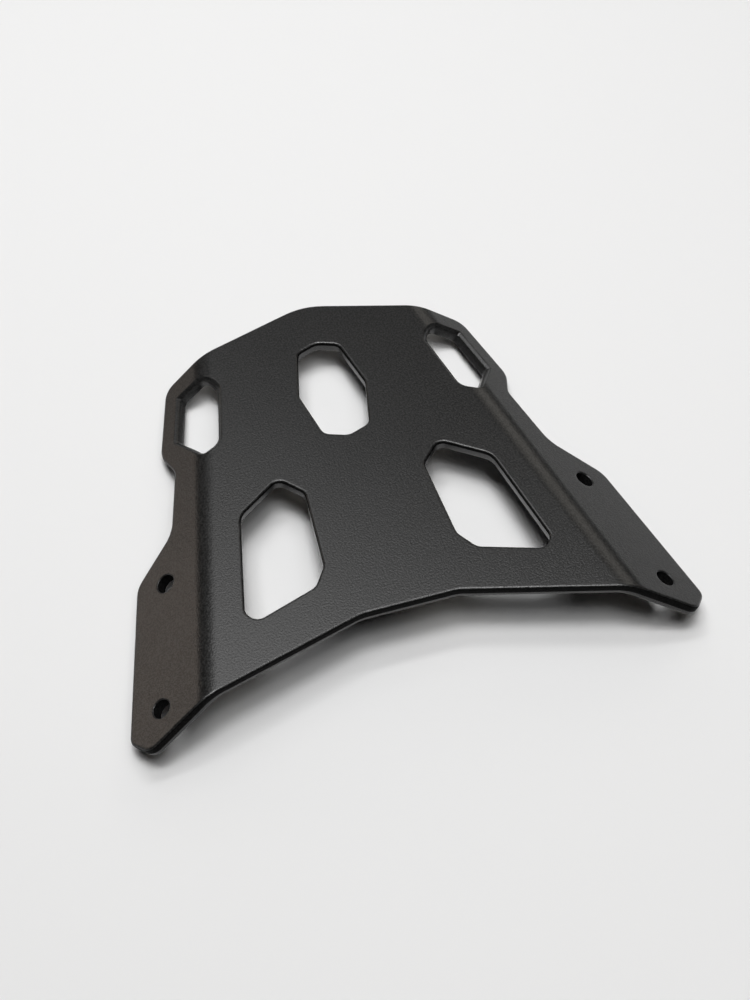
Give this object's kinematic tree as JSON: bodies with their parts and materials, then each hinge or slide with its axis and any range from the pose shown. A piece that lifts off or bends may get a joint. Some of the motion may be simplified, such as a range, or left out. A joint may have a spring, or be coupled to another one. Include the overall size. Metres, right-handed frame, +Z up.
{
  "type": "motorcycle luggage rack",
  "caption": "Flat sheet rack plate with sides folded down to bolted feet, cut-outs in the platform and strap slots at its narrow end.",
  "frame": {"origin": "on the flat top face, on the middle line, halfway along the rack", "axes": "+X across the machine to the right, +Y along the rack to its narrow end with the strap slots, +Z up, away from the machine"},
  "size_m": [0.2686, 0.209, 0.0278],
  "materials": {
    "powder_coat": "fine textured black powder coat, low sheen"
  },
  "bodies": {
    "root": {"rack_plate": "powder_coat"}
  },
  "joints": []
}
